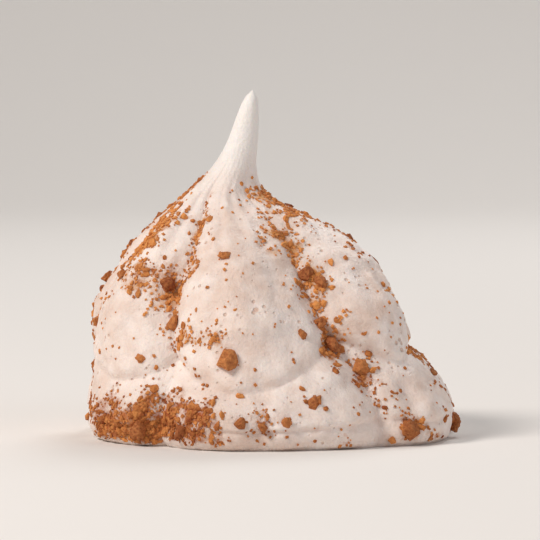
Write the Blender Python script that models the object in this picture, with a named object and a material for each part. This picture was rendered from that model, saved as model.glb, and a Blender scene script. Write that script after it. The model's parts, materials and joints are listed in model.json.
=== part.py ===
# A piped meringue kiss standing on its flat base, with the biggest biscuit crumbs baked on to it.
# Metres, +Z up, origin at the middle of the flat base, and the side that the photograph shows faces -Y.

import math
import random

import bmesh
import bpy
import numpy as np
from mathutils import Matrix, Vector, noise
from mathutils.bvhtree import BVHTree

MM = 0.001

# Driving sizes
HEIGHT = 33.2 * MM
RADIUS = 18.2 * MM
PEAK_LEAN = 4.5 * MM
PEAK_SETBACK = 1.4 * MM

# Outline from the edge of the flat base to the tip, as shares of HEIGHT, RADIUS and PEAK_LEAN
OUTLINE = (
    (0.000, 0.945, 0.00),  # edge of the flat base
    (0.024, 0.990, 0.00),
    (0.088, 1.000, 0.03),  # widest, where the batter first spread
    (0.180, 0.945, 0.18),
    (0.276, 0.880, 0.40),
    (0.365, 0.842, 0.51),
    (0.453, 0.750, 0.56),
    (0.535, 0.620, 0.60),
    (0.606, 0.460, 0.78),  # top of the dome
    (0.665, 0.290, 0.96),
    (0.716, 0.178, 1.00),  # neck, where the nozzle was pulled away
    (0.775, 0.118, 0.84),
    (0.845, 0.084, 0.67),
    (0.915, 0.062, 0.56),
    (0.972, 0.036, 0.48),
    (1.000, 0.000, 0.44),  # tip
)

# Lobes that the star nozzle left, by width round the cookie, from the groove left of the front one
LOBE_WIDTHS_DEG = (65, 49, 42, 36, 40, 37, 41, 50)
LOBE_BULGES = (0.010, 0.050, -0.030, 0.035, -0.015, 0.040, -0.010, 0.030)
GROOVE_STRENGTHS = (0.9, 1.0, 0.7, 1.15, 0.65, 1.0, 0.75, 0.7)
FIRST_GROOVE_DEG = 236
GROOVE_DEPTH_LOW = 0.085
GROOVE_DEPTH_HIGH = 0.24
GROOVE_POWER_LOW = 2.8
GROOVE_POWER_HIGH = 1.7
GROOVES_DEEPEST = 0.62
GROOVES_END = 0.84
TWIST_DEG = 26
TWIST_STARTS = 0.25
TWIST_ENDS = 0.80
FRONT_DEG = 262
FRONT_SPREAD_DEG = 20
STRAIGHTEST_DEG = 268  # the front lobe, which barely twists
STRAIGHTEST_SPREAD_DEG = 50
WAVER_DEG = 12
WAVER_LENGTH = 11.0 * MM
WAVER_FROM = Vector((4.9, -1.1, 4.0))  # the place in the noise with which the front grooves stray as seen

# Folds where one round of batter lies on the next: height, depth, width
TIER_FOLD = (8.3 * MM, 1.5 * MM, 1.1 * MM)
FOOT_FOLD = (2.3 * MM, 0.6 * MM, 0.6 * MM)
TIER_WAVES = 2.2 * MM
TIER_RISE = 2.4 * MM  # in the grooves
TIER_RELEASE = 18.0 * MM
TIER_DROP = 3.4 * MM  # at the front
TIER_DROP_DEG = 258
TIER_DROP_SPREAD_DEG = 52
FOLD_SAG = 0.6  # share of the fold's width
FOLD_ROLL = 0.35  # share of the fold's depth
SOFTEST_DEG = 250  # where the folds nearly closed
SOFTEST_SPREAD_DEG = 30
SOFTEST_SHARE = 0.5

# Uneven swelling in the oven: size across and height of the lumps
LUMPS = ((9.0 * MM, 0.60 * MM), (3.4 * MM, 0.36 * MM))

# Mesh of the meringue
STEPS_PER_LOBE = 10
RINGS = 45

# Crumbs seen in the photograph: degrees round from +X, height, width
SEEN_CRUMBS = (
    (261, 8.4 * MM, 2.5 * MM),
    (284, 4.4 * MM, 1.8 * MM),
    (261, 2.6 * MM, 1.4 * MM),
    (267, 2.3 * MM, 1.2 * MM),
    (274, 2.7 * MM, 1.3 * MM),
    (302, 9.3 * MM, 2.2 * MM),
    (309, 7.3 * MM, 2.2 * MM),
    (315, 1.4 * MM, 2.4 * MM),
    (347, 1.4 * MM, 2.4 * MM),
    (242, 1.7 * MM, 2.3 * MM),
    (226, 1.6 * MM, 2.4 * MM),
    (230, 15.0 * MM, 1.9 * MM),
    (237, 11.3 * MM, 2.0 * MM),
    (261, 17.7 * MM, 1.5 * MM),
    (306, 15.1 * MM, 1.8 * MM),
    (289, 10.5 * MM, 1.2 * MM),
    (227, 8.1 * MM, 1.2 * MM),
)
MORE_CRUMBS = 58
CRUMB_WIDTHS = (1.2 * MM, 2.3 * MM)
CRUMB_FLATNESS = 0.62
CRUMB_SUNK = 0.22
CRUMB_JITTER = 0.24
CRUMB_FLOOR_GAP = 0.35 * MM
CRUMB_SEED = 43
SPRINKLED_FROM = Vector((-0.18, 0.72, 0.62)).normalized()
SHELTERED_SHARE = 0.06


def smooth_step(low, high, value):
    """0 below low, 1 above high, with an even rise between."""
    share = min(max((value - low) / (high - low), 0.0), 1.0)
    return share * share * (3.0 - 2.0 * share)


def mix(first, second, share):
    return first + (second - first) * share


def spline(points, place):
    """A Catmull-Rom curve through the points; place counts points from the first."""
    last = len(points) - 1
    index = min(int(place), last - 1)
    t = place - index
    p0, p1, p2, p3 = (points[min(max(index + step, 0), last)] for step in (-1, 0, 1, 2))
    return [
        0.5 * (2 * b + (c - a) * t + (2 * a - 5 * b + 4 * c - d) * t**2 + (3 * b - a - 3 * c + d) * t**3)
        for a, b, c, d in zip(p0, p1, p2, p3)
    ]


def outline_table():
    """Heights, widths and leans at close steps up the outline."""
    places = np.linspace(0, len(OUTLINE) - 1, 600)
    return np.array([spline(OUTLINE, place) for place in places]).T


HEIGHTS, WIDTHS, LEANS = outline_table()


def middle_at(height):
    """The middle of the cookie at that height: the upper part leans."""
    lean = float(np.interp(height / HEIGHT, HEIGHTS, LEANS))
    return Vector((-PEAK_LEAN * lean, PEAK_SETBACK * lean, height))


def away_from(angle, degrees, spread_deg):
    """How far round the cookie an angle lies from that direction, in spreads."""
    return math.remainder(angle - math.radians(degrees), math.tau) / math.radians(spread_deg)


def fold(settings, angle, height, seed):
    """How far a fold draws the wall in, and how far the batter above it sags."""
    level, depth, width = settings
    around = Vector((math.cos(angle), math.sin(angle), seed))
    strength = 0.65 + 0.6 * noise.noise(around * 1.3 + Vector((5, 0, 0)))
    strength *= 1 - (1 - SOFTEST_SHARE) * math.exp(-(away_from(angle, SOFTEST_DEG, SOFTEST_SPREAD_DEG) ** 2))
    away = height - level
    pull = math.exp(-abs(away) / width) * strength
    over = math.exp(-(((away - 1.5 * width) / width) ** 2)) * strength
    return depth * (pull - FOLD_ROLL * over), FOLD_SAG * width * over


def tier_lift(angle, height, groove):
    """How far the fold and the rows near it are raised, as it winds up and down round the cookie."""
    waves = TIER_WAVES * noise.noise(Vector((1.7 * math.cos(angle), 1.7 * math.sin(angle), 3)))
    near = smooth_step(0, TIER_FOLD[0], height) * (1 - smooth_step(TIER_FOLD[0], TIER_RELEASE, height))
    drop = TIER_DROP * math.exp(-(away_from(angle, TIER_DROP_DEG, TIER_DROP_SPREAD_DEG) ** 4))
    return (waves + TIER_RISE * groove - drop) * near


def waver(angle, height):
    """How a lobe strays sideways on its way up."""
    around = Vector((1.2 * math.cos(angle), 1.2 * math.sin(angle), height / WAVER_LENGTH))
    return noise.noise(around + WAVER_FROM)


def surface_point(lobe, across, along):
    """A point of the meringue: across runs 0 to 1 from groove to groove, along 0 to 1 from base to tip."""
    high = spline(OUTLINE, along * (len(OUTLINE) - 1))[0]
    degrees = FIRST_GROOVE_DEG + sum(LOBE_WIDTHS_DEG[:lobe]) + LOBE_WIDTHS_DEG[lobe] * across
    spread = math.radians(FRONT_SPREAD_DEG) * math.sin(math.radians(degrees - FRONT_DEG))
    straight = math.exp(-(away_from(math.radians(degrees), STRAIGHTEST_DEG, STRAIGHTEST_SPREAD_DEG) ** 4))
    turned = (math.radians(TWIST_DEG) + spread) * (1 - straight)
    angle = math.radians(degrees) + turned * smooth_step(TWIST_STARTS, TWIST_ENDS, high)
    angle += math.radians(WAVER_DEG) * waver(angle, high * HEIGHT)
    outward = Vector((math.cos(angle), math.sin(angle), 0))

    rise = smooth_step(0, GROOVES_DEEPEST, high)
    power = mix(GROOVE_POWER_LOW, GROOVE_POWER_HIGH, rise)
    end = 1 - smooth_step(GROOVES_DEEPEST, GROOVES_END, high)
    near_groove = (lobe + (across > 0.5)) % len(GROOVE_STRENGTHS)
    groove = abs(2 * across - 1) ** power * GROOVE_STRENGTHS[near_groove]
    bulge = LOBE_BULGES[lobe] * (1 - (2 * across - 1) ** 2) * end
    depth = mix(GROOVE_DEPTH_LOW, GROOVE_DEPTH_HIGH, rise) * groove * end

    row = high * HEIGHT
    height = row + tier_lift(angle, row, groove)
    wide = max(float(np.interp(height / HEIGHT, HEIGHTS, WIDTHS)), 0)
    radius = wide * RADIUS * (1 - depth + bulge)
    fade = smooth_step(0, 0.06, high) * (1 - smooth_step(0.60, 0.72, high))
    for settings, seed in ((TIER_FOLD, 3), (FOOT_FOLD, 8)):
        inward, sag = fold(settings, angle, row, seed)
        radius -= inward * fade
        height -= sag * fade

    point = middle_at(height) + outward * radius
    swell = sum(tall * noise.noise(point / size) for size, tall in LUMPS)
    return point + outward * swell * min(1, wide * 3)


def finish_mesh(bm, name, material):
    """Turns the bmesh into a smooth-shaded object of that name."""
    mesh = bpy.data.meshes.new(name)
    bm.to_mesh(mesh)
    bm.free()
    mesh.shade_smooth()
    mesh.materials.append(material)
    made = bpy.data.objects.new(name, mesh)
    bpy.context.scene.collection.objects.link(made)
    return made


def meringue_body(material):
    """A ring of wall spun round the axis, with each point then moved on to the piped surface."""
    bm = bmesh.new()
    wall = [bm.verts.new((1, 0, ring / RINGS)) for ring in range(RINGS)]
    edges = [bm.edges.new(pair) for pair in zip(wall, wall[1:])]
    steps = STEPS_PER_LOBE * len(LOBE_WIDTHS_DEG)
    bmesh.ops.spin(
        bm, geom=wall + edges, cent=(0, 0, 0), axis=(0, 0, 1), angle=math.tau, steps=steps, use_merge=True
    )
    bmesh.ops.remove_doubles(bm, verts=bm.verts, dist=1e-5)
    for end in (0, RINGS - 1):
        rim = [edge for edge in bm.edges if all(abs(v.co.z * RINGS - end) < 0.5 for v in edge.verts)]
        cap = bmesh.ops.edgeloop_fill(bm, edges=rim)
        if end:
            bmesh.ops.poke(bm, faces=cap["faces"])
    for vert in bm.verts:
        step = round(math.atan2(vert.co.y, vert.co.x) / math.tau * steps) % steps
        lobe, within = divmod(step, STEPS_PER_LOBE)
        along = 1.0 if vert.co.xy.length < 0.5 else vert.co.z
        vert.co = surface_point(lobe, within / STEPS_PER_LOBE, along)
    # the skewed quads in the grooves fold cleanly only along their shorter diagonal
    quads = [face for face in bm.faces if len(face.verts) == 4]
    bmesh.ops.triangulate(bm, faces=quads, quad_method="SHORT_EDGE")
    bmesh.ops.recalc_face_normals(bm, faces=bm.faces)
    return finish_mesh(bm, "meringue_cookie", material)


def crumb(name, place, outward, width, draw, material):
    """An angular crumb, flat side down, sunk a little way into the meringue."""
    bm = bmesh.new()
    bmesh.ops.create_icosphere(bm, subdivisions=1, radius=width / 2)
    for vert in bm.verts:
        vert.co *= 1 + draw.uniform(-CRUMB_JITTER, CRUMB_JITTER)
    bmesh.ops.scale(bm, vec=(1, draw.uniform(0.7, 0.95), CRUMB_FLATNESS), verts=bm.verts)
    spun = Matrix.Rotation(draw.uniform(0, math.tau), 4, "Z")
    lie = outward.to_track_quat("Z", "Y").to_matrix().to_4x4()
    lift = width * CRUMB_FLATNESS * (0.5 - CRUMB_SUNK)
    bmesh.ops.transform(bm, matrix=Matrix.Translation(place + outward * lift) @ lie @ spun, verts=bm.verts)
    too_low = CRUMB_FLOOR_GAP - min(vert.co.z for vert in bm.verts)
    if too_low > 0:
        bmesh.ops.translate(bm, vec=(0, 0, too_low), verts=bm.verts)
    return finish_mesh(bm, name, material)


def wall_at(tree, angle, height):
    """Where a level line from outside, towards the middle, meets the wall, and the way out there."""
    inward = Vector((-math.cos(angle), -math.sin(angle), 0))
    place, outward, _, _ = tree.ray_cast(middle_at(height) - inward * 2 * RADIUS, inward)
    return place, outward


def crumb_places(tree, draw):
    """Place, outward direction and width of each crumb: those seen, then more where they were sprinkled."""
    for degrees, height, width in SEEN_CRUMBS:
        yield *wall_at(tree, math.radians(degrees), height), width
    placed = 0
    while placed < MORE_CRUMBS:
        angle, high = draw.uniform(0, math.tau), draw.uniform(0.05, 0.66)
        luck, size = draw.random(), draw.random()
        place, outward = wall_at(tree, angle, high * HEIGHT)
        if luck < max(outward.dot(SPRINKLED_FROM), 0) + SHELTERED_SHARE:
            placed += 1
            yield place, outward, mix(*CRUMB_WIDTHS, size**2)


def scatter_crumbs(cookie, material):
    """Joins the crumbs to the meringue with one union."""
    crumbs = bpy.data.collections.new("crumbs")
    bpy.context.scene.collection.children.link(crumbs)
    draw = random.Random(CRUMB_SEED)
    tree = BVHTree.FromObject(cookie, bpy.context.evaluated_depsgraph_get())
    for number, (place, outward, width) in enumerate(list(crumb_places(tree, draw))):
        made = crumb(f"crumb_{number}", place, outward, width, draw, material)
        bpy.context.scene.collection.objects.unlink(made)
        crumbs.objects.link(made)

    union = cookie.modifiers.new("crumbs", "BOOLEAN")
    union.operation = "UNION"
    union.solver = "EXACT"
    union.material_mode = "TRANSFER"
    union.operand_type = "COLLECTION"
    union.collection = crumbs
    joined = bpy.data.meshes.new_from_object(cookie.evaluated_get(bpy.context.evaluated_depsgraph_get()))
    cookie.modifiers.remove(union)
    cookie.data = joined
    for made in list(crumbs.objects):
        bpy.data.objects.remove(made)
    bpy.data.collections.remove(crumbs)


def food_material(name, colour, roughness):
    material = bpy.data.materials.new(name)
    material.use_nodes = True
    shader = material.node_tree.nodes["Principled BSDF"]
    shader.inputs["Base Color"].default_value = (*colour, 1)
    shader.inputs["Roughness"].default_value = roughness
    shader.inputs["Metallic"].default_value = 0
    return material


def main():
    for old in list(bpy.data.objects):
        bpy.data.objects.remove(old)
    baked_white = food_material("baked_meringue", (0.86, 0.78, 0.70), 0.75)
    biscuit = food_material("biscuit_crumb", (0.42, 0.16, 0.05), 0.85)
    cookie = meringue_body(baked_white)
    bpy.context.view_layer.update()
    scatter_crumbs(cookie, biscuit)


main()
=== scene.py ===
# One piped meringue kiss with biscuit crumbs, standing on a pale studio sweep.
# The CAD solid gives the size; the shell, the crumbs and the grains here are what shows.
import json
import math
import random

import bmesh
import bpy
import numpy as np
from mathutils import Matrix, Vector, noise
from mathutils.bvhtree import BVHTree

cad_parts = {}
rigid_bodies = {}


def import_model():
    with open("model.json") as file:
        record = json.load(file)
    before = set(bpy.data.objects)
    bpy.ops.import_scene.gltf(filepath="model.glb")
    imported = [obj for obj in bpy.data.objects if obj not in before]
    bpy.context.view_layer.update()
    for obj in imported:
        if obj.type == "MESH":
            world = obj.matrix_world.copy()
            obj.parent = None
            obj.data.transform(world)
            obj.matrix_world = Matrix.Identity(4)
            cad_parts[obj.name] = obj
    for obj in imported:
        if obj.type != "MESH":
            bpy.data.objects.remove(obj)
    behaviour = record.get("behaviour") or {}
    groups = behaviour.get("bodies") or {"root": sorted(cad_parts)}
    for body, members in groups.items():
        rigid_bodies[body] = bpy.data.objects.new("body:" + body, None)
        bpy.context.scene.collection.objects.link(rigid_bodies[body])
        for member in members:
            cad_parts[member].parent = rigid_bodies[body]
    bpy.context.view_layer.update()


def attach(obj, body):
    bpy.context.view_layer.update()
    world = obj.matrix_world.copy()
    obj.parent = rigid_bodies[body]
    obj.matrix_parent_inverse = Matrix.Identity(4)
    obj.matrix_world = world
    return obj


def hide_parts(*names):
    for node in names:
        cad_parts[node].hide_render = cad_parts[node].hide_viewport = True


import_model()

mm = 0.001
scene = bpy.context.scene


# small helpers

def linear(hexColour):
    # sRGB hex to the linear values that the sockets take
    parts = [int(hexColour[i:i + 2], 16) / 255 for i in (1, 3, 5)]
    return [p / 12.92 if p <= 0.04045 else ((p + 0.055) / 1.055) ** 2.4 for p in parts] + [1.0]


def smoothStep(low, high, value):
    share = min(max((value - low) / (high - low), 0.0), 1.0)
    return share * share * (3 - 2 * share)


def mix(first, second, share):
    return first + (second - first) * share


def fillInputs(tree, node, inputs):
    # each input gets a value, or a link from the output that feeds it
    for name, value in inputs.items():
        if isinstance(value, bpy.types.NodeSocket):
            tree.links.new(value, node.inputs[name])
        else:
            node.inputs[name].default_value = value


def addNode(tree, kind, settings=None, inputs=None):
    node = tree.nodes.new(kind)
    for name, value in (settings or {}).items():
        setattr(node, name, value)
    fillInputs(tree, node, inputs or {})
    return node


def finishPiece(bm, name, material, smooth=True):
    mesh = bpy.data.meshes.new(name)
    bm.to_mesh(mesh)
    bm.free()
    if smooth:
        mesh.shade_smooth()
    mesh.materials.append(material)
    piece = bpy.data.objects.new(name, mesh)
    scene.collection.objects.link(piece)
    return piece


# the piped form, the same as the solid's

kiss = {
    "height": 33.2 * mm,
    "radius": 18.2 * mm,
    "lean": 4.5 * mm,
    "setback": 1.4 * mm,
    "lobes": (65, 49, 42, 36, 40, 37, 41, 50),
    "bulges": (0.010, 0.050, -0.030, 0.035, -0.015, 0.040, -0.010, 0.030),
    "grooves": (0.9, 1.0, 0.7, 1.15, 0.65, 1.0, 0.75, 0.7),
    "firstGroove": 236,
    "grooveDepth": (0.085, 0.24),
    "groovePower": (2.8, 1.7),
    "groovesDeepest": 0.62,
    "groovesEnd": 0.84,
    "twist": 26,
    "twistFrom": 0.25,
    "twistTo": 0.80,
    "front": 262,
    "frontSpread": 20,
    "straightest": 268,
    "straightestSpread": 50,
    "waver": 12,
    "waverReach": 1.2,
    "waverLength": 11.0 * mm,
    "waverFrom": Vector((4.9, -1.1, 4.0)),
    "tierFold": (8.3 * mm, 1.5 * mm, 1.1 * mm),
    "footFold": (2.3 * mm, 0.6 * mm, 0.6 * mm),
    "tierWaves": 2.2 * mm,
    "tierWaveReach": 1.7,
    "tierRise": 2.4 * mm,
    "tierRelease": 18.0 * mm,
    "tierDrop": 3.4 * mm,
    "tierDropAt": 258,
    "tierDropSpread": 52,
    "foldMean": 0.65,
    "foldVaries": 0.6,
    "foldPatches": 1.3,
    "foldSag": 0.6,
    "foldRoll": 0.35,
    "foldsStart": 0.06,
    "foldsEnd": (0.60, 0.72),
    "tuckWidth": 1.1 * mm,
    "softest": 250,
    "softestSpread": 30,
    "softestShare": 0.5,
    "lumps": ((9.0 * mm, 0.60 * mm), (3.4 * mm, 0.36 * mm)),
}

# height, width and lean of the outline, as shares
outline = (
    (0.000, 0.945, 0.00),
    (0.024, 0.990, 0.00),
    (0.088, 1.000, 0.03),
    (0.180, 0.945, 0.18),
    (0.276, 0.880, 0.40),
    (0.365, 0.842, 0.51),
    (0.453, 0.750, 0.56),
    (0.535, 0.620, 0.60),
    (0.606, 0.460, 0.78),
    (0.665, 0.290, 0.96),
    (0.716, 0.178, 1.00),
    (0.775, 0.118, 0.84),
    (0.845, 0.084, 0.67),
    (0.915, 0.062, 0.56),
    (0.972, 0.036, 0.48),
    (1.000, 0.000, 0.44),
)


def spline(points, place):
    last = len(points) - 1
    index = min(int(place), last - 1)
    t = place - index
    p0, p1, p2, p3 = (points[min(max(index + step, 0), last)] for step in (-1, 0, 1, 2))
    return [
        0.5 * (2 * b + (c - a) * t + (2 * a - 5 * b + 4 * c - d) * t**2 + (3 * b - a - 3 * c + d) * t**3)
        for a, b, c, d in zip(p0, p1, p2, p3)
    ]


outlineSteps = [spline(outline, place) for place in np.linspace(0, len(outline) - 1, 600)]
outlineHigh, outlineWide, outlineLean = np.array(outlineSteps).T


def middleAt(height):
    lean = float(np.interp(height / kiss["height"], outlineHigh, outlineLean))
    return Vector((-kiss["lean"] * lean, kiss["setback"] * lean, height))


def awayFrom(angle, degrees, spread):
    # how far round an angle lies from that direction, in spreads
    return math.remainder(angle - math.radians(degrees), math.tau) / math.radians(spread)


def foldAt(settings, angle, height, seed):
    # how far a fold draws the wall in, and how far the batter over it sags
    level, depth, width = settings
    around = Vector((math.cos(angle), math.sin(angle), seed))
    patchy = noise.noise(around * kiss["foldPatches"] + Vector((5, 0, 0)))
    strength = kiss["foldMean"] + kiss["foldVaries"] * patchy
    turn = awayFrom(angle, kiss["softest"], kiss["softestSpread"])
    strength *= 1 - (1 - kiss["softestShare"]) * math.exp(-(turn**2))
    away = height - level
    pull = math.exp(-abs(away) / width) * strength
    over = math.exp(-(((away - 1.5 * width) / width) ** 2)) * strength
    return depth * (pull - kiss["foldRoll"] * over), kiss["foldSag"] * width * over


def tierLift(angle, height, groove):
    level = kiss["tierFold"][0]
    reach = kiss["tierWaveReach"]
    waves = kiss["tierWaves"] * noise.noise(Vector((reach * math.cos(angle), reach * math.sin(angle), 3)))
    near = smoothStep(0, level, height) * (1 - smoothStep(level, kiss["tierRelease"], height))
    turn = awayFrom(angle, kiss["tierDropAt"], kiss["tierDropSpread"])
    return (waves + kiss["tierRise"] * groove - kiss["tierDrop"] * math.exp(-(turn**4))) * near


def pipedPoint(lobe, across, along):
    # a point of the shell, how deep it lies in a groove and how close under a fold
    high = spline(outline, along * (len(outline) - 1))[0]
    degrees = kiss["firstGroove"] + sum(kiss["lobes"][:lobe]) + kiss["lobes"][lobe] * across
    spread = math.radians(kiss["frontSpread"]) * math.sin(math.radians(degrees - kiss["front"]))
    straight = awayFrom(math.radians(degrees), kiss["straightest"], kiss["straightestSpread"])
    turned = (math.radians(kiss["twist"]) + spread) * (1 - math.exp(-(straight**4)))
    angle = math.radians(degrees) + turned * smoothStep(kiss["twistFrom"], kiss["twistTo"], high)
    row = high * kiss["height"]
    reach = kiss["waverReach"]
    around = Vector((reach * math.cos(angle), reach * math.sin(angle), row / kiss["waverLength"]))
    angle += math.radians(kiss["waver"]) * noise.noise(around + kiss["waverFrom"])
    outward = Vector((math.cos(angle), math.sin(angle), 0))

    rise = smoothStep(0, kiss["groovesDeepest"], high)
    power = mix(*kiss["groovePower"], rise)
    end = 1 - smoothStep(kiss["groovesDeepest"], kiss["groovesEnd"], high)
    nearGroove = (lobe + (across > 0.5)) % len(kiss["grooves"])
    groove = abs(2 * across - 1) ** power * kiss["grooves"][nearGroove]
    bulge = kiss["bulges"][lobe] * (1 - (2 * across - 1) ** 2) * end
    depth = mix(*kiss["grooveDepth"], rise) * groove * end

    height = row + tierLift(angle, row, groove)
    wide = max(float(np.interp(height / kiss["height"], outlineHigh, outlineWide)), 0)
    radius = wide * kiss["radius"] * (1 - depth + bulge)
    fade = smoothStep(0, kiss["foldsStart"], high) * (1 - smoothStep(*kiss["foldsEnd"], high))
    for settings, seed in ((kiss["tierFold"], 3), (kiss["footFold"], 8)):
        inward, sag = foldAt(settings, angle, row, seed)
        radius -= inward * fade
        height -= sag * fade

    point = middleAt(height) + outward * radius
    swell = sum(tall * noise.noise(point / size) for size, tall in kiss["lumps"])
    away = row - kiss["tierFold"][0]
    tuck = math.exp(-((away / kiss["tuckWidth"]) ** 2)) * fade
    lumpy = min(1, wide * 3)  # the thin tip is even
    return point + outward * swell * lumpy, groove * end, tuck


def wrappedWall(rings, stepsPerLobe, baseRings=0):
    # A sheet wrapped round, from the middle of the base to the rim and up to the tip, then moved to
    # the form. A grid has its faces in the same order in each run, which the scattering needs and a
    # spin hasn't.
    bm = bmesh.new()
    steps = stepsPerLobe * len(kiss["lobes"])
    rows = baseRings + rings
    bmesh.ops.create_grid(bm, x_segments=steps, y_segments=rows, size=0.5)
    for vert in bm.verts:
        turn = (vert.co.x + 0.5) * math.tau
        row = round((vert.co.y + 0.5) * rows) - baseRings
        reach = 1 + row / baseRings if row < 0 else float(row < rings)
        vert.co = (reach * math.cos(turn), reach * math.sin(turn), max(row, 0) / rings)
    bmesh.ops.remove_doubles(bm, verts=bm.verts, dist=1e-5)
    grooveLayer, tuckLayer, alongLayer, turnLayer = (
        bm.verts.layers.float.new(name) for name in ("groove", "tuck", "along", "turn")
    )
    for vert in bm.verts:
        step = round(math.atan2(vert.co.y, vert.co.x) / math.tau * steps) % steps
        lobe, within = divmod(step, stepsPerLobe)
        atTip = vert.co.z > 0.999
        reach = vert.co.xy.length
        inBase = baseRings and vert.co.z < 1e-6 and reach < 0.999
        along = 1.0 if atTip else vert.co.z
        vert.co, vert[grooveLayer], vert[tuckLayer] = pipedPoint(lobe, within / stepsPerLobe, along)
        vert[alongLayer], vert[turnLayer] = along, step / steps * math.tau
        if inBase:
            vert.co.xy = vert.co.xy * reach
            vert[grooveLayer] = 0
    bmesh.ops.recalc_face_normals(bm, faces=bm.faces)
    return bm


# materials

def newMaterial(name):
    material = bpy.data.materials.new(name)
    material.use_nodes = True
    return material, material.node_tree, material.node_tree.nodes["Principled BSDF"]


def addNoise(tree, place, size, detail, roughness=0.5):
    # uneven from 0 to 1, in patches of about that size
    inputs = {"Vector": place, "Scale": 1 / size, "Detail": detail, "Roughness": roughness}
    return addNode(tree, "ShaderNodeTexNoise", None, inputs).outputs["Fac"]


def addLayer(tree, name):
    return addNode(tree, "ShaderNodeAttribute", {"attribute_name": name}).outputs["Fac"]


def addMath(tree, operation, *values):
    return addNode(tree, "ShaderNodeMath", {"operation": operation}, dict(enumerate(values))).outputs[0]


def addRange(tree, value, edge, kind="LINEAR"):
    # from 0 to 1 over that edge
    inputs = {"Value": value, "From Min": edge[0], "From Max": edge[1]}
    return addNode(tree, "ShaderNodeMapRange", {"interpolation_type": kind}, inputs).outputs["Result"]


def addRamp(tree, share, tones):
    ramp = addNode(tree, "ShaderNodeValToRGB", None, {"Fac": share})
    for element, (position, colour) in zip(ramp.color_ramp.elements, tones):
        element.position = position
        element.color = linear(colour)
    return ramp.outputs["Color"]


def addMix(tree, share, first, second):
    inputs = {"Factor": share, "A": first, "B": second}
    return addNode(tree, "ShaderNodeMix", {"data_type": "RGBA"}, inputs).outputs["Result"]


def addBump(tree, height, strength, depth, **under):
    inputs = {"Height": height, "Strength": strength, "Distance": depth}
    return addNode(tree, "ShaderNodeBump", None, inputs | under).outputs["Normal"]


# sizes are of the patches, edges are where a change begins and ends
foamLook = {
    "bakingSize": 7.0 * mm,
    "mottleSize": 1.6 * mm,
    "mottleShare": 0.6,
    "tones": ((0.62, "#e3cbbd"), (0.96, "#f5e7df")),
    "whiteEdge": (0.66 * kiss["height"], 0.84 * kiss["height"]),
    # painted highlight towards the tip
    "paintedTipHighlight": "#f3eeea",
    "speckSize": 0.55 * mm,
    "speckRoughness": 0.62,
    "dustEdge": (0.76, 1.20),
    "dustTintSize": 0.9 * mm,
    "dustTones": ((0.42, "#a8562a"), (1.0, "#dfa468")),
    "bubbleSize": 0.75 * mm,
    "bubblePatches": 3.5 * mm,
    "holeEdge": (-0.56, -0.34),
    # painted shade for the hollows of the pinholes
    "pitShadeColour": "#dfbfae",
    "grainSize": 0.32 * mm,
    "grainRoughness": 0.6,
    "bumpDepth": 0.12 * mm,
    "powderStrength": 0.6,
    "bareRoughness": 0.52,
    "dustyRoughness": 0.9,
}


def bakedMeringue():
    # dried egg white and sugar foam: satin matte, a little light passes into it, cream where it browned
    material, tree, shader = newMaterial("baked meringue")
    place = addNode(tree, "ShaderNodeTexCoord").outputs["Object"]
    look = foamLook

    # uneven baking, in wide patches under a fainter mottle
    baking = addNoise(tree, place, look["bakingSize"], 3.0)
    mottle = addNoise(tree, place, look["mottleSize"], 3.0)
    mottled = addMath(tree, "MULTIPLY_ADD", mottle, look["mottleShare"], baking)
    toned = addRamp(tree, mottled, look["tones"])

    # whiter towards the tip: a painted highlight, as if the tip caught the light
    level = addNode(tree, "ShaderNodeSeparateXYZ", None, {"Vector": place}).outputs["Z"]
    tipward = addRange(tree, level, look["whiteEdge"], "SMOOTHSTEP")
    foam = addMix(tree, tipward, toned, linear(look["paintedTipHighlight"]))

    # the finest biscuit dust: specks that close up where the dust is thick
    specks = addNoise(tree, place, look["speckSize"], 4.0, look["speckRoughness"])
    dusted = addRange(tree, addMath(tree, "ADD", addLayer(tree, "dust"), specks), look["dustEdge"])
    tint = addNoise(tree, place, look["dustTintSize"], 3.0)
    dustTone = addRamp(tree, addMath(tree, "ADD", tint, addLayer(tree, "golden")), look["dustTones"])

    # foam skin: pinholes of up to 0.35 mm where bubbles broke, gathered in places and none on the tip;
    # their darker colour is painted shade in the hollows
    cells = {"Vector": place, "Scale": 1 / look["bubbleSize"]}
    bubbles = addNode(tree, "ShaderNodeTexVoronoi", None, cells).outputs["Distance"]
    patches = addNoise(tree, place, look["bubblePatches"], 2.0)
    fewer = addMath(tree, "SUBTRACT", bubbles, patches)
    skinLevel = addRange(tree, addMath(tree, "ADD", fewer, tipward), look["holeEdge"], "SMOOTHSTEP")
    pitShaded = addMix(tree, skinLevel, linear(look["pitShadeColour"]), foam)

    # a fine grain, the pinholes and the dust on top
    grain = addNoise(tree, place, look["grainSize"], 4.0, look["grainRoughness"])
    skin = addBump(tree, grain, 1.0, look["bumpDepth"])
    pitted = addBump(tree, skinLevel, 1.0, look["bumpDepth"], Normal=skin)
    powder = addBump(tree, dusted, look["powderStrength"], look["bumpDepth"], Normal=pitted)
    rough = addNode(
        tree, "ShaderNodeMapRange", None,
        {"Value": dusted, "To Min": look["bareRoughness"], "To Max": look["dustyRoughness"]},
    )
    fillInputs(tree, shader, {
        "Base Color": addMix(tree, dusted, pitShaded, dustTone),
        "Normal": powder,
        "Roughness": rough.outputs["Result"],
        "IOR": 1.45,
        "Subsurface Weight": 0.18,
        "Subsurface Radius": (1.0, 0.75, 0.55),
        "Subsurface Scale": 1.2 * mm,
    })
    return material


crumbLook = {
    "grainShare": 1.5,
    "toneEdge": (0.55, 1.60),
    "bumpStrength": 0.9,
    "bumpDepth": 0.3 * mm,
}


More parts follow.
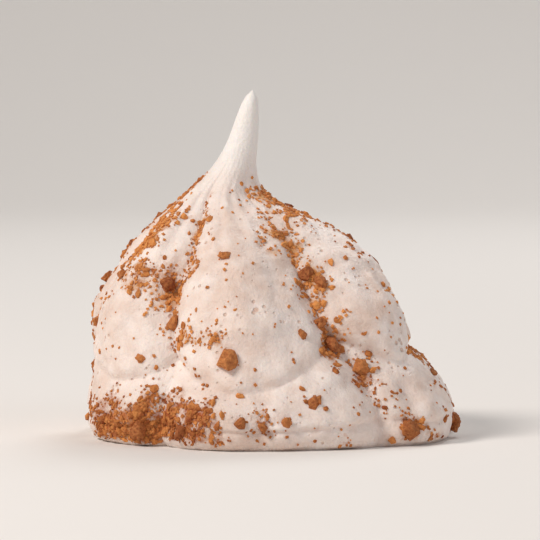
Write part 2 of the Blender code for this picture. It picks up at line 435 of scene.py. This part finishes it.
def biscuitCrumb(name, dark, light, grainSize):
    # brown biscuit, broken small: open, dry and matt, darker where the crust was
    material, tree, shader = newMaterial(name)
    place = addNode(tree, "ShaderNodeTexCoord").outputs["Object"]
    grain = addNoise(tree, place, grainSize, 4.0)
    mixed = addMath(tree, "MULTIPLY_ADD", grain, crumbLook["grainShare"], addLayer(tree, "shade"))
    toned = addRange(tree, mixed, crumbLook["toneEdge"])
    fillInputs(tree, shader, {
        "Base Color": addMix(tree, toned, linear(dark), linear(light)),
        "Normal": addBump(tree, grain, crumbLook["bumpStrength"], crumbLook["bumpDepth"]),
        "Roughness": 0.82,
        "IOR": 1.45,
        "Subsurface Weight": 0.06,
        "Subsurface Scale": 0.3 * mm,
    })
    return material


# the shell

shell = {
    "rings": 176,
    "baseRings": 12,
    "stepsPerLobe": 64,
    "relief": ((1.7 * mm, 0.19 * mm), (0.75 * mm, 0.10 * mm)),  # unevenness of the dried foam
    "streaks": (1.7 * mm, 0.26 * mm),  # width and height of the drag marks along the lobes
    "basePits": (2.6 * mm, 0.35 * mm),  # size and depth of the hollows under the base
    "pitsFrom": 0.25,
    "evenTip": (0.02, 0.5),
    "evenFoot": 0.5 * mm,
}

crumbled = {
    "from": Vector((-0.18, 0.72, 0.62)).normalized(),  # where the crumbs were sprinkled from
    "missed": 0.12,
    "patch": (4.2 * mm, 0.72),  # size, and share in the amount
    "clump": (1.3 * mm, 0.36),
    "rubbed": (6.0 * mm, 0.42),  # where touching took them off the lobes
    "rubbedEdge": (0.5, 0.95),
    "rubbedMean": 0.5,
    "rubbedVaries": 1.2,
    "inGrooves": 0.30,
    "inShadedGrooves": 0.35,
    "underFold": 0.25,
    "underShadedFold": 0.15,
    "least": (0.035, 0.09),  # mean, and how far it varies
    "most": 0.66,
    "ragged": (2.6 * mm, 0.75),
    "spotClumps": 0.9,
    "cleanTip": (0.72, 0.79),
    "cleanFoot": 0.8 * mm,
    "golden": (5.5 * mm, 0.75),
    "goldenHigher": 0.65,
    "goldenFrom": (4.5 * mm, 11.0 * mm),
    "goldenShare": 0.5,
}

# degrees round from +X, height and width of the crumbs that the photograph shows
seenCrumbs = (
    (261, 8.4 * mm, 2.5 * mm),
    (284, 4.4 * mm, 1.8 * mm),
    (261, 2.6 * mm, 1.4 * mm),
    (267, 2.3 * mm, 1.2 * mm),
    (274, 2.7 * mm, 1.3 * mm),
    (302, 9.3 * mm, 2.2 * mm),
    (309, 7.3 * mm, 2.2 * mm),
    (315, 1.4 * mm, 2.4 * mm),
    (347, 1.4 * mm, 2.4 * mm),
    (242, 1.7 * mm, 2.3 * mm),
    (226, 1.6 * mm, 2.4 * mm),
    (230, 15.0 * mm, 1.9 * mm),
    (237, 11.3 * mm, 2.0 * mm),
    (261, 17.7 * mm, 1.5 * mm),
    (306, 15.1 * mm, 1.8 * mm),
    (289, 10.5 * mm, 1.2 * mm),
    (227, 8.1 * mm, 1.2 * mm),
)

# spots where the photograph shows finer crumbs gathered: degrees, height, reach, how thick
gathered = (
    (241, 2.4 * mm, 3.2 * mm, 0.72),
    (252, 2.0 * mm, 2.6 * mm, 0.24),
    (227, 1.8 * mm, 3.6 * mm, 0.95),
    (212, 1.8 * mm, 3.2 * mm, 0.85),
    (231, 14.8 * mm, 2.4 * mm, 0.45),
    (237, 11.2 * mm, 2.0 * mm, 0.38),
    (304, 14.9 * mm, 2.6 * mm, 0.60),
    (302, 9.6 * mm, 2.2 * mm, 0.60),
    (309, 7.4 * mm, 1.9 * mm, 0.45),
    (267, 2.6 * mm, 1.9 * mm, 0.35),
    (284, 4.4 * mm, 1.6 * mm, 0.30),
    (315, 1.8 * mm, 1.8 * mm, 0.40),
    (346, 1.8 * mm, 2.2 * mm, 0.45),
    (300, 18.5 * mm, 2.6 * mm, 0.45),
    (215, 16.0 * mm, 3.0 * mm, 0.60),
    (340, 23.2 * mm, 2.4 * mm, 0.60),
    (212, 20.6 * mm, 2.6 * mm, 0.70),
)


def wallAt(tree, angle, height):
    inward = Vector((-math.cos(angle), -math.sin(angle), 0))
    place, outward, _, _ = tree.ray_cast(middleAt(height) - inward * 2 * kiss["radius"], inward)
    return place, outward


def patchyAt(point, kind, offset=(0, 0, 0)):
    # unevenness from -1 to 1 in patches of that kind's size
    return noise.noise(point / crumbled[kind][0] + Vector(offset))


def dustAt(point, normal, groove, tuck, spots):
    # share of the surface that crumbs and dust cover
    facing = max(normal.dot(crumbled["from"]), 0)
    patch = patchyAt(point, "patch", (7, 1, 4))
    clump = patchyAt(point, "clump")
    touched = crumbled["rubbedMean"] + crumbled["rubbedVaries"] * patchyAt(point, "rubbed")
    rubbed = smoothStep(*crumbled["rubbedEdge"], 1 - groove) * touched
    amount = facing - crumbled["missed"] + crumbled["patch"][1] * patch + crumbled["clump"][1] * clump
    amount -= crumbled["rubbed"][1] * max(rubbed, 0)
    inGroove = crumbled["inGrooves"] * groove * (facing + crumbled["inShadedGrooves"])
    underFold = crumbled["underFold"] * tuck * (facing + crumbled["underShadedFold"])
    amount += inGroove + underFold
    low, uneven = crumbled["least"]
    amount = max(amount, low + uneven * clump)
    tipward = smoothStep(*crumbled["cleanTip"], point.z / kiss["height"])
    amount = min(amount, crumbled["most"]) * (1 - tipward)
    ragged = 1 + crumbled["ragged"][1] * patchyAt(point, "ragged", (2, 8, 5))
    for place, reach, thick in spots:
        near = (point - place).length / reach / ragged
        if near < 1.6:  # nothing shows beyond
            amount += thick * math.exp(-2 * near * near) * (1 + crumbled["spotClumps"] * clump)
    return min(max(amount, 0), 1) * smoothStep(0.0, crumbled["cleanFoot"], point.z)


def goldenAt(point):
    # 0 where the crumbs are mostly of the dark crust, and more where they are of the golden inside
    drift = crumbled["golden"][1] * patchyAt(point, "golden", (3, 9, 1))
    # lighter higher up and darker towards the foot
    higher = crumbled["goldenHigher"] * smoothStep(*crumbled["goldenFrom"], point.z)
    return crumbled["goldenShare"] * min(max(drift + higher, 0), 1)


def makeShell(material, spots):
    bm = wrappedWall(shell["rings"], shell["stepsPerLobe"], shell["baseRings"])
    bm.normal_update()
    layers = bm.verts.layers.float
    groove, tuck, along, turn = (layers[name] for name in ("groove", "tuck", "along", "turn"))
    dust, golden = (layers.new(name) for name in ("dust", "golden"))
    moves = []
    for vert in bm.verts:
        point, normal = vert.co.copy(), vert.normal
        size, deep = shell["basePits"]
        isBase = normal.z < -0.9 and point.z < 0.1 * mm
        if isBase:
            pit = noise.noise(point / size) + 0.5 * noise.noise(point / size * 3.1)
            moves.append(Vector((0, 0, max(pit - shell["pitsFrom"], 0) * deep)))
            vert[dust] = 0
            continue
        rough = sum(tall * noise.noise(point / scale) for scale, tall in shell["relief"])
        wide, tall = shell["streaks"]
        turns = kiss["radius"] / wide
        drag = Vector((turns * math.cos(vert[turn]), turns * math.sin(vert[turn]), vert[along] * 3))
        reach = (point - middleAt(point.z)).length / kiss["radius"]
        rough = (rough + tall * noise.noise(drag)) * smoothStep(*shell["evenTip"], reach)
        moves.append(normal * rough * smoothStep(0, shell["evenFoot"], point.z))
        vert[dust] = dustAt(point, normal, vert[groove], vert[tuck], spots)
        vert[golden] = goldenAt(point)
    for vert, move in zip(bm.verts, moves):
        vert.co += move
        vert.co.z = max(vert.co.z, 0)
    return finishPiece(bm, "meringueShell", material)


# the crumbs

# detail is how often a crumb's ball is divided, or 0 for a box; flatFaces are cut off the ball,
# none of them nearer its middle than nearestFace
coarse = {
    "seed": 43,
    "shapeSeed": 8,
    "more": 58,
    "heights": (0.05, 0.66),
    "widths": (1.2 * mm, 2.3 * mm),
    "detail": 4,
    "chipping": 0.42,
    "flatness": 0.62,
    "flatFaces": 9,
    "nearestFace": 0.26,
    "sunk": 0.33,
    "floorGap": 0.35 * mm,
    "sheltered": 0.06,
    "tones": (0.0, 0.6),
}

medium = {
    "seed": 5,
    "count": 2600,
    "shapes": 7,
    "widths": (0.42 * mm, 1.05 * mm),
    "detail": 1,
    "chipping": 0.5,
    "flatness": 0.7,
    "flatFaces": 4,
    "nearestFace": 0.30,
    "threshold": 0.08,
}

fine = {
    "seed": 6,
    "count": 13000,
    "shapes": 5,
    "widths": (0.17 * mm, 0.40 * mm),
    "detail": 0,
    "flatness": 0.8,
    "threshold": 0.05,
}

broken = {
    "chips": ((2.6, 1.0), (6.5, 0.55), (13.0, 0.3)),  # how many to a width, and how tall
    "farthestFace": 0.40,
    "cutOff": 0.85,
    "narrow": (0.7, 0.95),
    "grainSize": 0.8,
    "grainCorners": (0.7, 1.25),
    "grainNarrow": 0.85,
}

scattered = {
    "crowding": 1.3,
    "strays": 0.007,
    "straysFrom": 0.6 * mm,
    "mostlySmall": 2.2,
    "offFloor": 0.6,
    "toneSpread": 0.5,
}


def coarsePlaces(tree, draw):
    for degrees, height, width in seenCrumbs:
        yield *wallAt(tree, math.radians(degrees), height), width
    placed = 0
    while placed < coarse["more"]:
        angle, high = draw.uniform(0, math.tau), draw.uniform(*coarse["heights"])
        luck, size = draw.random(), draw.random()
        place, outward = wallAt(tree, angle, high * kiss["height"])
        if luck < max(outward.dot(crumbled["from"]), 0) + coarse["sheltered"]:
            placed += 1
            yield place, outward, mix(*coarse["widths"], size**2)


def roughLump(draw, settings):
    # an angular bit of biscuit, about 1 across
    bm = bmesh.new()
    bmesh.ops.create_icosphere(bm, subdivisions=settings["detail"], radius=0.5)
    offset = Vector([draw.uniform(-50, 50) for _ in range(3)])
    for vert in bm.verts:
        chip = sum(tall * noise.noise(vert.co * many + offset) for many, tall in broken["chips"])
        vert.co *= 1 + settings["chipping"] * chip
    for _ in range(settings["flatFaces"]):
        side = Vector([draw.gauss(0, 1) for _ in range(3)]).normalized()
        cut = draw.uniform(settings["nearestFace"], broken["farthestFace"])
        for vert in bm.verts:
            over = vert.co.dot(side) - cut
            if over > 0:
                vert.co -= side * over * broken["cutOff"]
    narrow = draw.uniform(*broken["narrow"])
    bmesh.ops.scale(bm, vec=(1, narrow, settings["flatness"]), verts=bm.verts)
    return bm


def tinyGrain(draw, settings):
    # a box with its corners shifted, about 1 across
    bm = bmesh.new()
    bmesh.ops.create_cube(bm, size=broken["grainSize"])
    for vert in bm.verts:
        vert.co *= draw.uniform(*broken["grainCorners"])
    bmesh.ops.scale(bm, vec=(1, broken["grainNarrow"], settings["flatness"]), verts=bm.verts)
    return bm


def makeCoarseCrumbs(material, places):
    whole = bmesh.new()
    shade = whole.verts.layers.float.new("shade")
    draw = random.Random(coarse["shapeSeed"])
    scratch = bpy.data.meshes.new("scratch")
    for place, outward, width in places:
        bm = roughLump(draw, coarse)
        reach = max(vert.co.xy.length for vert in bm.verts)
        spun = Matrix.Rotation(draw.uniform(0, math.tau), 4, "Z")
        lie = outward.to_track_quat("Z", "Y").to_matrix().to_4x4()
        lift = width * coarse["flatness"] * (0.5 - coarse["sunk"])
        sized = Matrix.Scale(width / reach / 2, 4)
        turn = Matrix.Translation(place + outward * lift) @ lie @ spun @ sized
        bmesh.ops.transform(bm, matrix=turn, verts=bm.verts)
        tooLow = coarse["floorGap"] - min(vert.co.z for vert in bm.verts)
        if tooLow > 0:
            bmesh.ops.translate(bm, vec=(0, 0, tooLow), verts=bm.verts)
        bm.to_mesh(scratch)
        bm.free()
        before = len(whole.verts)
        whole.from_mesh(scratch)
        whole.verts.ensure_lookup_table()
        tone = draw.uniform(*coarse["tones"])
        for vert in whole.verts[before:]:
            vert[shade] = tone
    bpy.data.meshes.remove(scratch)
    return finishPiece(whole, "coarseCrumbs", material)


def scatterPlaces(surface, settings):
    # places drawn over the shell, as thick as its dust attribute says
    mesh = surface.data
    mesh.calc_loop_triangles()
    corners = np.zeros(len(mesh.loop_triangles) * 3, np.int32)
    mesh.loop_triangles.foreach_get("vertices", corners)
    corners = corners.reshape(-1, 3)
    points = np.zeros(len(mesh.vertices) * 3, np.float32)
    mesh.vertices.foreach_get("co", points)
    points = points.reshape(-1, 3).astype(float)
    dust = np.zeros(len(mesh.vertices), np.float32)
    mesh.attributes["dust"].data.foreach_get("value", dust)
    sides = points[corners]
    across = np.cross(sides[:, 1] - sides[:, 0], sides[:, 2] - sides[:, 0])
    area = np.linalg.norm(across, axis=1)
    normals = across / np.maximum(area, 1e-15)[:, None]
    thick = np.clip(dust[corners].mean(axis=1) - settings["threshold"], 0.0, 1.0) ** scattered["crowding"]
    high = sides[:, :, 2].mean(axis=1)
    tip = crumbled["cleanTip"][0] * kiss["height"]
    thick += scattered["strays"] * (high > scattered["straysFrom"]) * (high < tip)
    weight = area * thick
    rng = np.random.default_rng(settings["seed"])
    picked = rng.choice(len(weight), settings["count"], p=weight / weight.sum())
    a, b = rng.random(len(picked)), rng.random(len(picked))
    swap = a + b > 1
    a[swap], b[swap] = 1 - a[swap], 1 - b[swap]
    triangle = sides[picked]
    places = triangle[:, 0] + a[:, None] * (triangle[:, 1] - triangle[:, 0])
    places += b[:, None] * (triangle[:, 2] - triangle[:, 0])
    low, high = settings["widths"]
    widths = low + (high - low) * rng.random(len(picked)) ** scattered["mostlySmall"]
    places[:, 2] = np.maximum(places[:, 2], scattered["offFloor"] * widths)
    return places, normals[picked], widths, rng


def scatter(surface, name, material, settings):
    places, normals, widths, rng = scatterPlaces(surface, settings)
    draw = random.Random(settings["seed"])
    kinds = bpy.data.collections.new(name + "Kinds")
    scene.collection.children.link(kinds)
    shape = roughLump if settings["detail"] else tinyGrain
    for kind in range(settings["shapes"]):
        bm = shape(draw, settings)
        lump = finishPiece(bm, f"{name}Kind{kind}", material, smooth=False)
        scene.collection.objects.unlink(lump)
        kinds.objects.link(lump)

    # one vertex for each crumb, with what the scattering reads
    lies, spins = normals.ravel(), rng.random(len(places)) * math.tau
    shades = rng.random(len(places)) * scattered["toneSpread"]
    shades += [goldenAt(Vector(place)) for place in places]
    bm = bmesh.new()
    for place in places:
        bm.verts.new(place)
    piece = finishPiece(bm, name, material, smooth=False)
    mesh = piece.data
    for title, kind, values in (
        ("lie", "FLOAT_VECTOR", lies),
        ("width", "FLOAT", widths),
        ("spin", "FLOAT", spins),
        ("shade", "FLOAT", shades),
    ):
        layer = mesh.attributes.new(title, kind, "POINT")
        layer.data.foreach_set("vector" if kind == "FLOAT_VECTOR" else "value", values.astype(np.float32))

    tree = bpy.data.node_groups.new(name + "Scatter", "GeometryNodeTree")
    tree.interface.new_socket("Geometry", in_out="INPUT", socket_type="NodeSocketGeometry")
    tree.interface.new_socket("Geometry", in_out="OUTPUT", socket_type="NodeSocketGeometry")
    given = addNode(tree, "NodeGroupInput").outputs["Geometry"]
    readers = [
        addNode(tree, "GeometryNodeInputNamedAttribute", {"data_type": kind}, {"Name": title})
        for title, kind in (("lie", "FLOAT_VECTOR"), ("width", "FLOAT"), ("spin", "FLOAT"))
    ]
    lie, width, spin = (reader.outputs["Attribute"] for reader in readers)
    upright = addNode(tree, "FunctionNodeAlignRotationToVector", {"axis": "Z"}, {"Vector": lie})
    turnZ = addNode(tree, "ShaderNodeCombineXYZ", None, {"Z": spin})
    toTurn = addNode(tree, "FunctionNodeEulerToRotation", None, {"Euler": turnZ.outputs["Vector"]})
    turned = addNode(
        tree, "FunctionNodeRotateRotation", {"rotation_space": "LOCAL"},
        {"Rotation": upright.outputs["Rotation"], "Rotate By": toTurn.outputs["Rotation"]},
    )
    source = addNode(
        tree, "GeometryNodeCollectionInfo", None,
        {"Collection": kinds, "Separate Children": True, "Reset Children": True},
    )
    spread = addNode(
        tree, "GeometryNodeInstanceOnPoints", None,
        {
            "Points": given,
            "Instance": source.outputs["Instances"],
            "Rotation": turned.outputs["Rotation"],
            "Scale": width,
            "Pick Instance": True,
        },
    )
    real = addNode(tree, "GeometryNodeRealizeInstances", None, {"Geometry": spread.outputs["Instances"]})
    addNode(tree, "NodeGroupOutput", None, {"Geometry": real.outputs["Geometry"]})

    live = piece.modifiers.new("scatter", "NODES")
    live.node_group = tree
    bpy.context.view_layer.update()
    made = bpy.data.meshes.new_from_object(piece.evaluated_get(bpy.context.evaluated_depsgraph_get()))
    piece.modifiers.remove(live)
    piece.data = made
    for lump in list(kinds.objects):
        bpy.data.objects.remove(lump)
    bpy.data.collections.remove(kinds)
    bpy.data.node_groups.remove(tree)
    return piece


print("piping the form")
coarseForm = wrappedWall(45, 10)
coarseTree = BVHTree.FromBMesh(coarseForm)
coarseForm.free()
spots = [
    (wallAt(coarseTree, math.radians(degrees), high)[0], reach, thick)
    for degrees, high, reach, thick in gathered
]

print("making the shell")
meringue = makeShell(bakedMeringue(), spots)

print("baking on the coarse crumbs")
places = list(coarsePlaces(coarseTree, random.Random(coarse["seed"])))
bigMaterial = biscuitCrumb("broken biscuit", dark="#803812", light="#d68b4e", grainSize=0.3 * mm)
bigCrumbs = makeCoarseCrumbs(bigMaterial, places)

print("scattering the finer crumbs")
smallMaterial = biscuitCrumb("biscuit crumb", dark="#8c4013", light="#df9450", grainSize=0.5 * mm)
midCrumbs = scatter(meringue, "mediumCrumbs", smallMaterial, medium)
fineCrumbs = scatter(meringue, "fineCrumbs", smallMaterial, fine)

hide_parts("meringue_cookie")
for piece in (meringue, bigCrumbs, midCrumbs, fineCrumbs):
    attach(piece, "root")
    print(piece.name, len(piece.data.polygons), "faces")


# studio

studio = {
    "sweepFront": -1.0,
    "sweepDepth": 0.45,
    "sweepWidth": 1.6,
    "sweepHeight": 0.9,
    "sweepBend": 0.25,
    "sweepSteps": 17,
    "sweepDrop": 0.01 * mm,
    "sweepColour": "#e9e5e1",
    "lampAim": (0, 0, 0.015),
    "worldColour": "#f2f0ee",
    "worldStrength": 0.36,
    "cameraDistance": 0.42,
    "cameraHigh": 3.5,
    "aim": (-0.0003, 0.0, 0.0158),
    "lens": 290,
    "sensor": 36,
    "nearClip": 0.01,
}

# name, place, size in metres, watts and colour
lamps = (
    ("keyLamp", (-0.34, -0.20, 0.38), 0.18, 2.05, "#fff8f2"),
    ("fillLamp", (0.42, -0.32, 0.20), 0.40, 0.42, "#f4f6ff"),
    ("backLamp", (0.15, 0.40, 0.40), 0.25, 1.0, "#ffffff"),
)


def paintedBoard():
    # matt painted board, bent into a sweep
    material, tree, shader = newMaterial("painted board")
    fillInputs(tree, shader, {"Base Color": linear(studio["sweepColour"]), "Roughness": 0.9})
    return material


def makeSweep():
    bm = bmesh.new()
    bend = studio["sweepBend"]
    back = studio["sweepDepth"]
    line = [(studio["sweepFront"], 0.0), (back, 0.0)]
    line += [
        (back + bend * math.sin(turn), bend - bend * math.cos(turn))
        for turn in np.linspace(0, math.pi / 2, studio["sweepSteps"])[1:]
    ]
    line.append((back + bend, studio["sweepHeight"]))
    verts = [bm.verts.new((-studio["sweepWidth"] / 2, y, z - studio["sweepDrop"])) for y, z in line]
    edges = [bm.edges.new(pair) for pair in zip(verts, verts[1:])]
    wide = bmesh.ops.extrude_edge_only(bm, edges=edges)
    moved = [item for item in wide["geom"] if isinstance(item, bmesh.types.BMVert)]
    bmesh.ops.translate(bm, vec=(studio["sweepWidth"], 0, 0), verts=moved)
    bmesh.ops.recalc_face_normals(bm, faces=bm.faces)
    sweep = finishPiece(bm, "sweep", paintedBoard())


def addLamp(name, place, size, power, colour):
    lamp = bpy.data.lights.new(name, "AREA")
    lamp.shape = "DISK"
    lamp.size = size
    lamp.energy = power
    lamp.color = linear(colour)[:3]
    shown = bpy.data.objects.new(name, lamp)
    shown.location = place
    aim = Vector(studio["lampAim"]) - Vector(place)
    shown.rotation_euler = aim.to_track_quat("-Z", "Y").to_euler()
    scene.collection.objects.link(shown)


print("setting up the studio")
makeSweep()
for lamp in lamps:
    addLamp(*lamp)

world = bpy.data.worlds.new("studio")
world.use_nodes = True
sky = world.node_tree.nodes["Background"]
fillInputs(
    world.node_tree, sky, {"Color": linear(studio["worldColour"]), "Strength": studio["worldStrength"]}
)
scene.world = world
scene.view_settings.view_transform = "Standard"

lens = bpy.data.cameras.new("camera")
lens.sensor_width = studio["sensor"]
lens.sensor_fit = "HORIZONTAL"
lens.lens = studio["lens"]
lens.clip_start = studio["nearClip"]
camera = bpy.data.objects.new("camera", lens)
up = math.radians(studio["cameraHigh"])
aim = Vector(studio["aim"])
camera.location = aim + Vector((0, -math.cos(up), math.sin(up))) * studio["cameraDistance"]
camera.rotation_euler = (aim - camera.location).to_track_quat("-Z", "Y").to_euler()
scene.collection.objects.link(camera)
scene.camera = camera
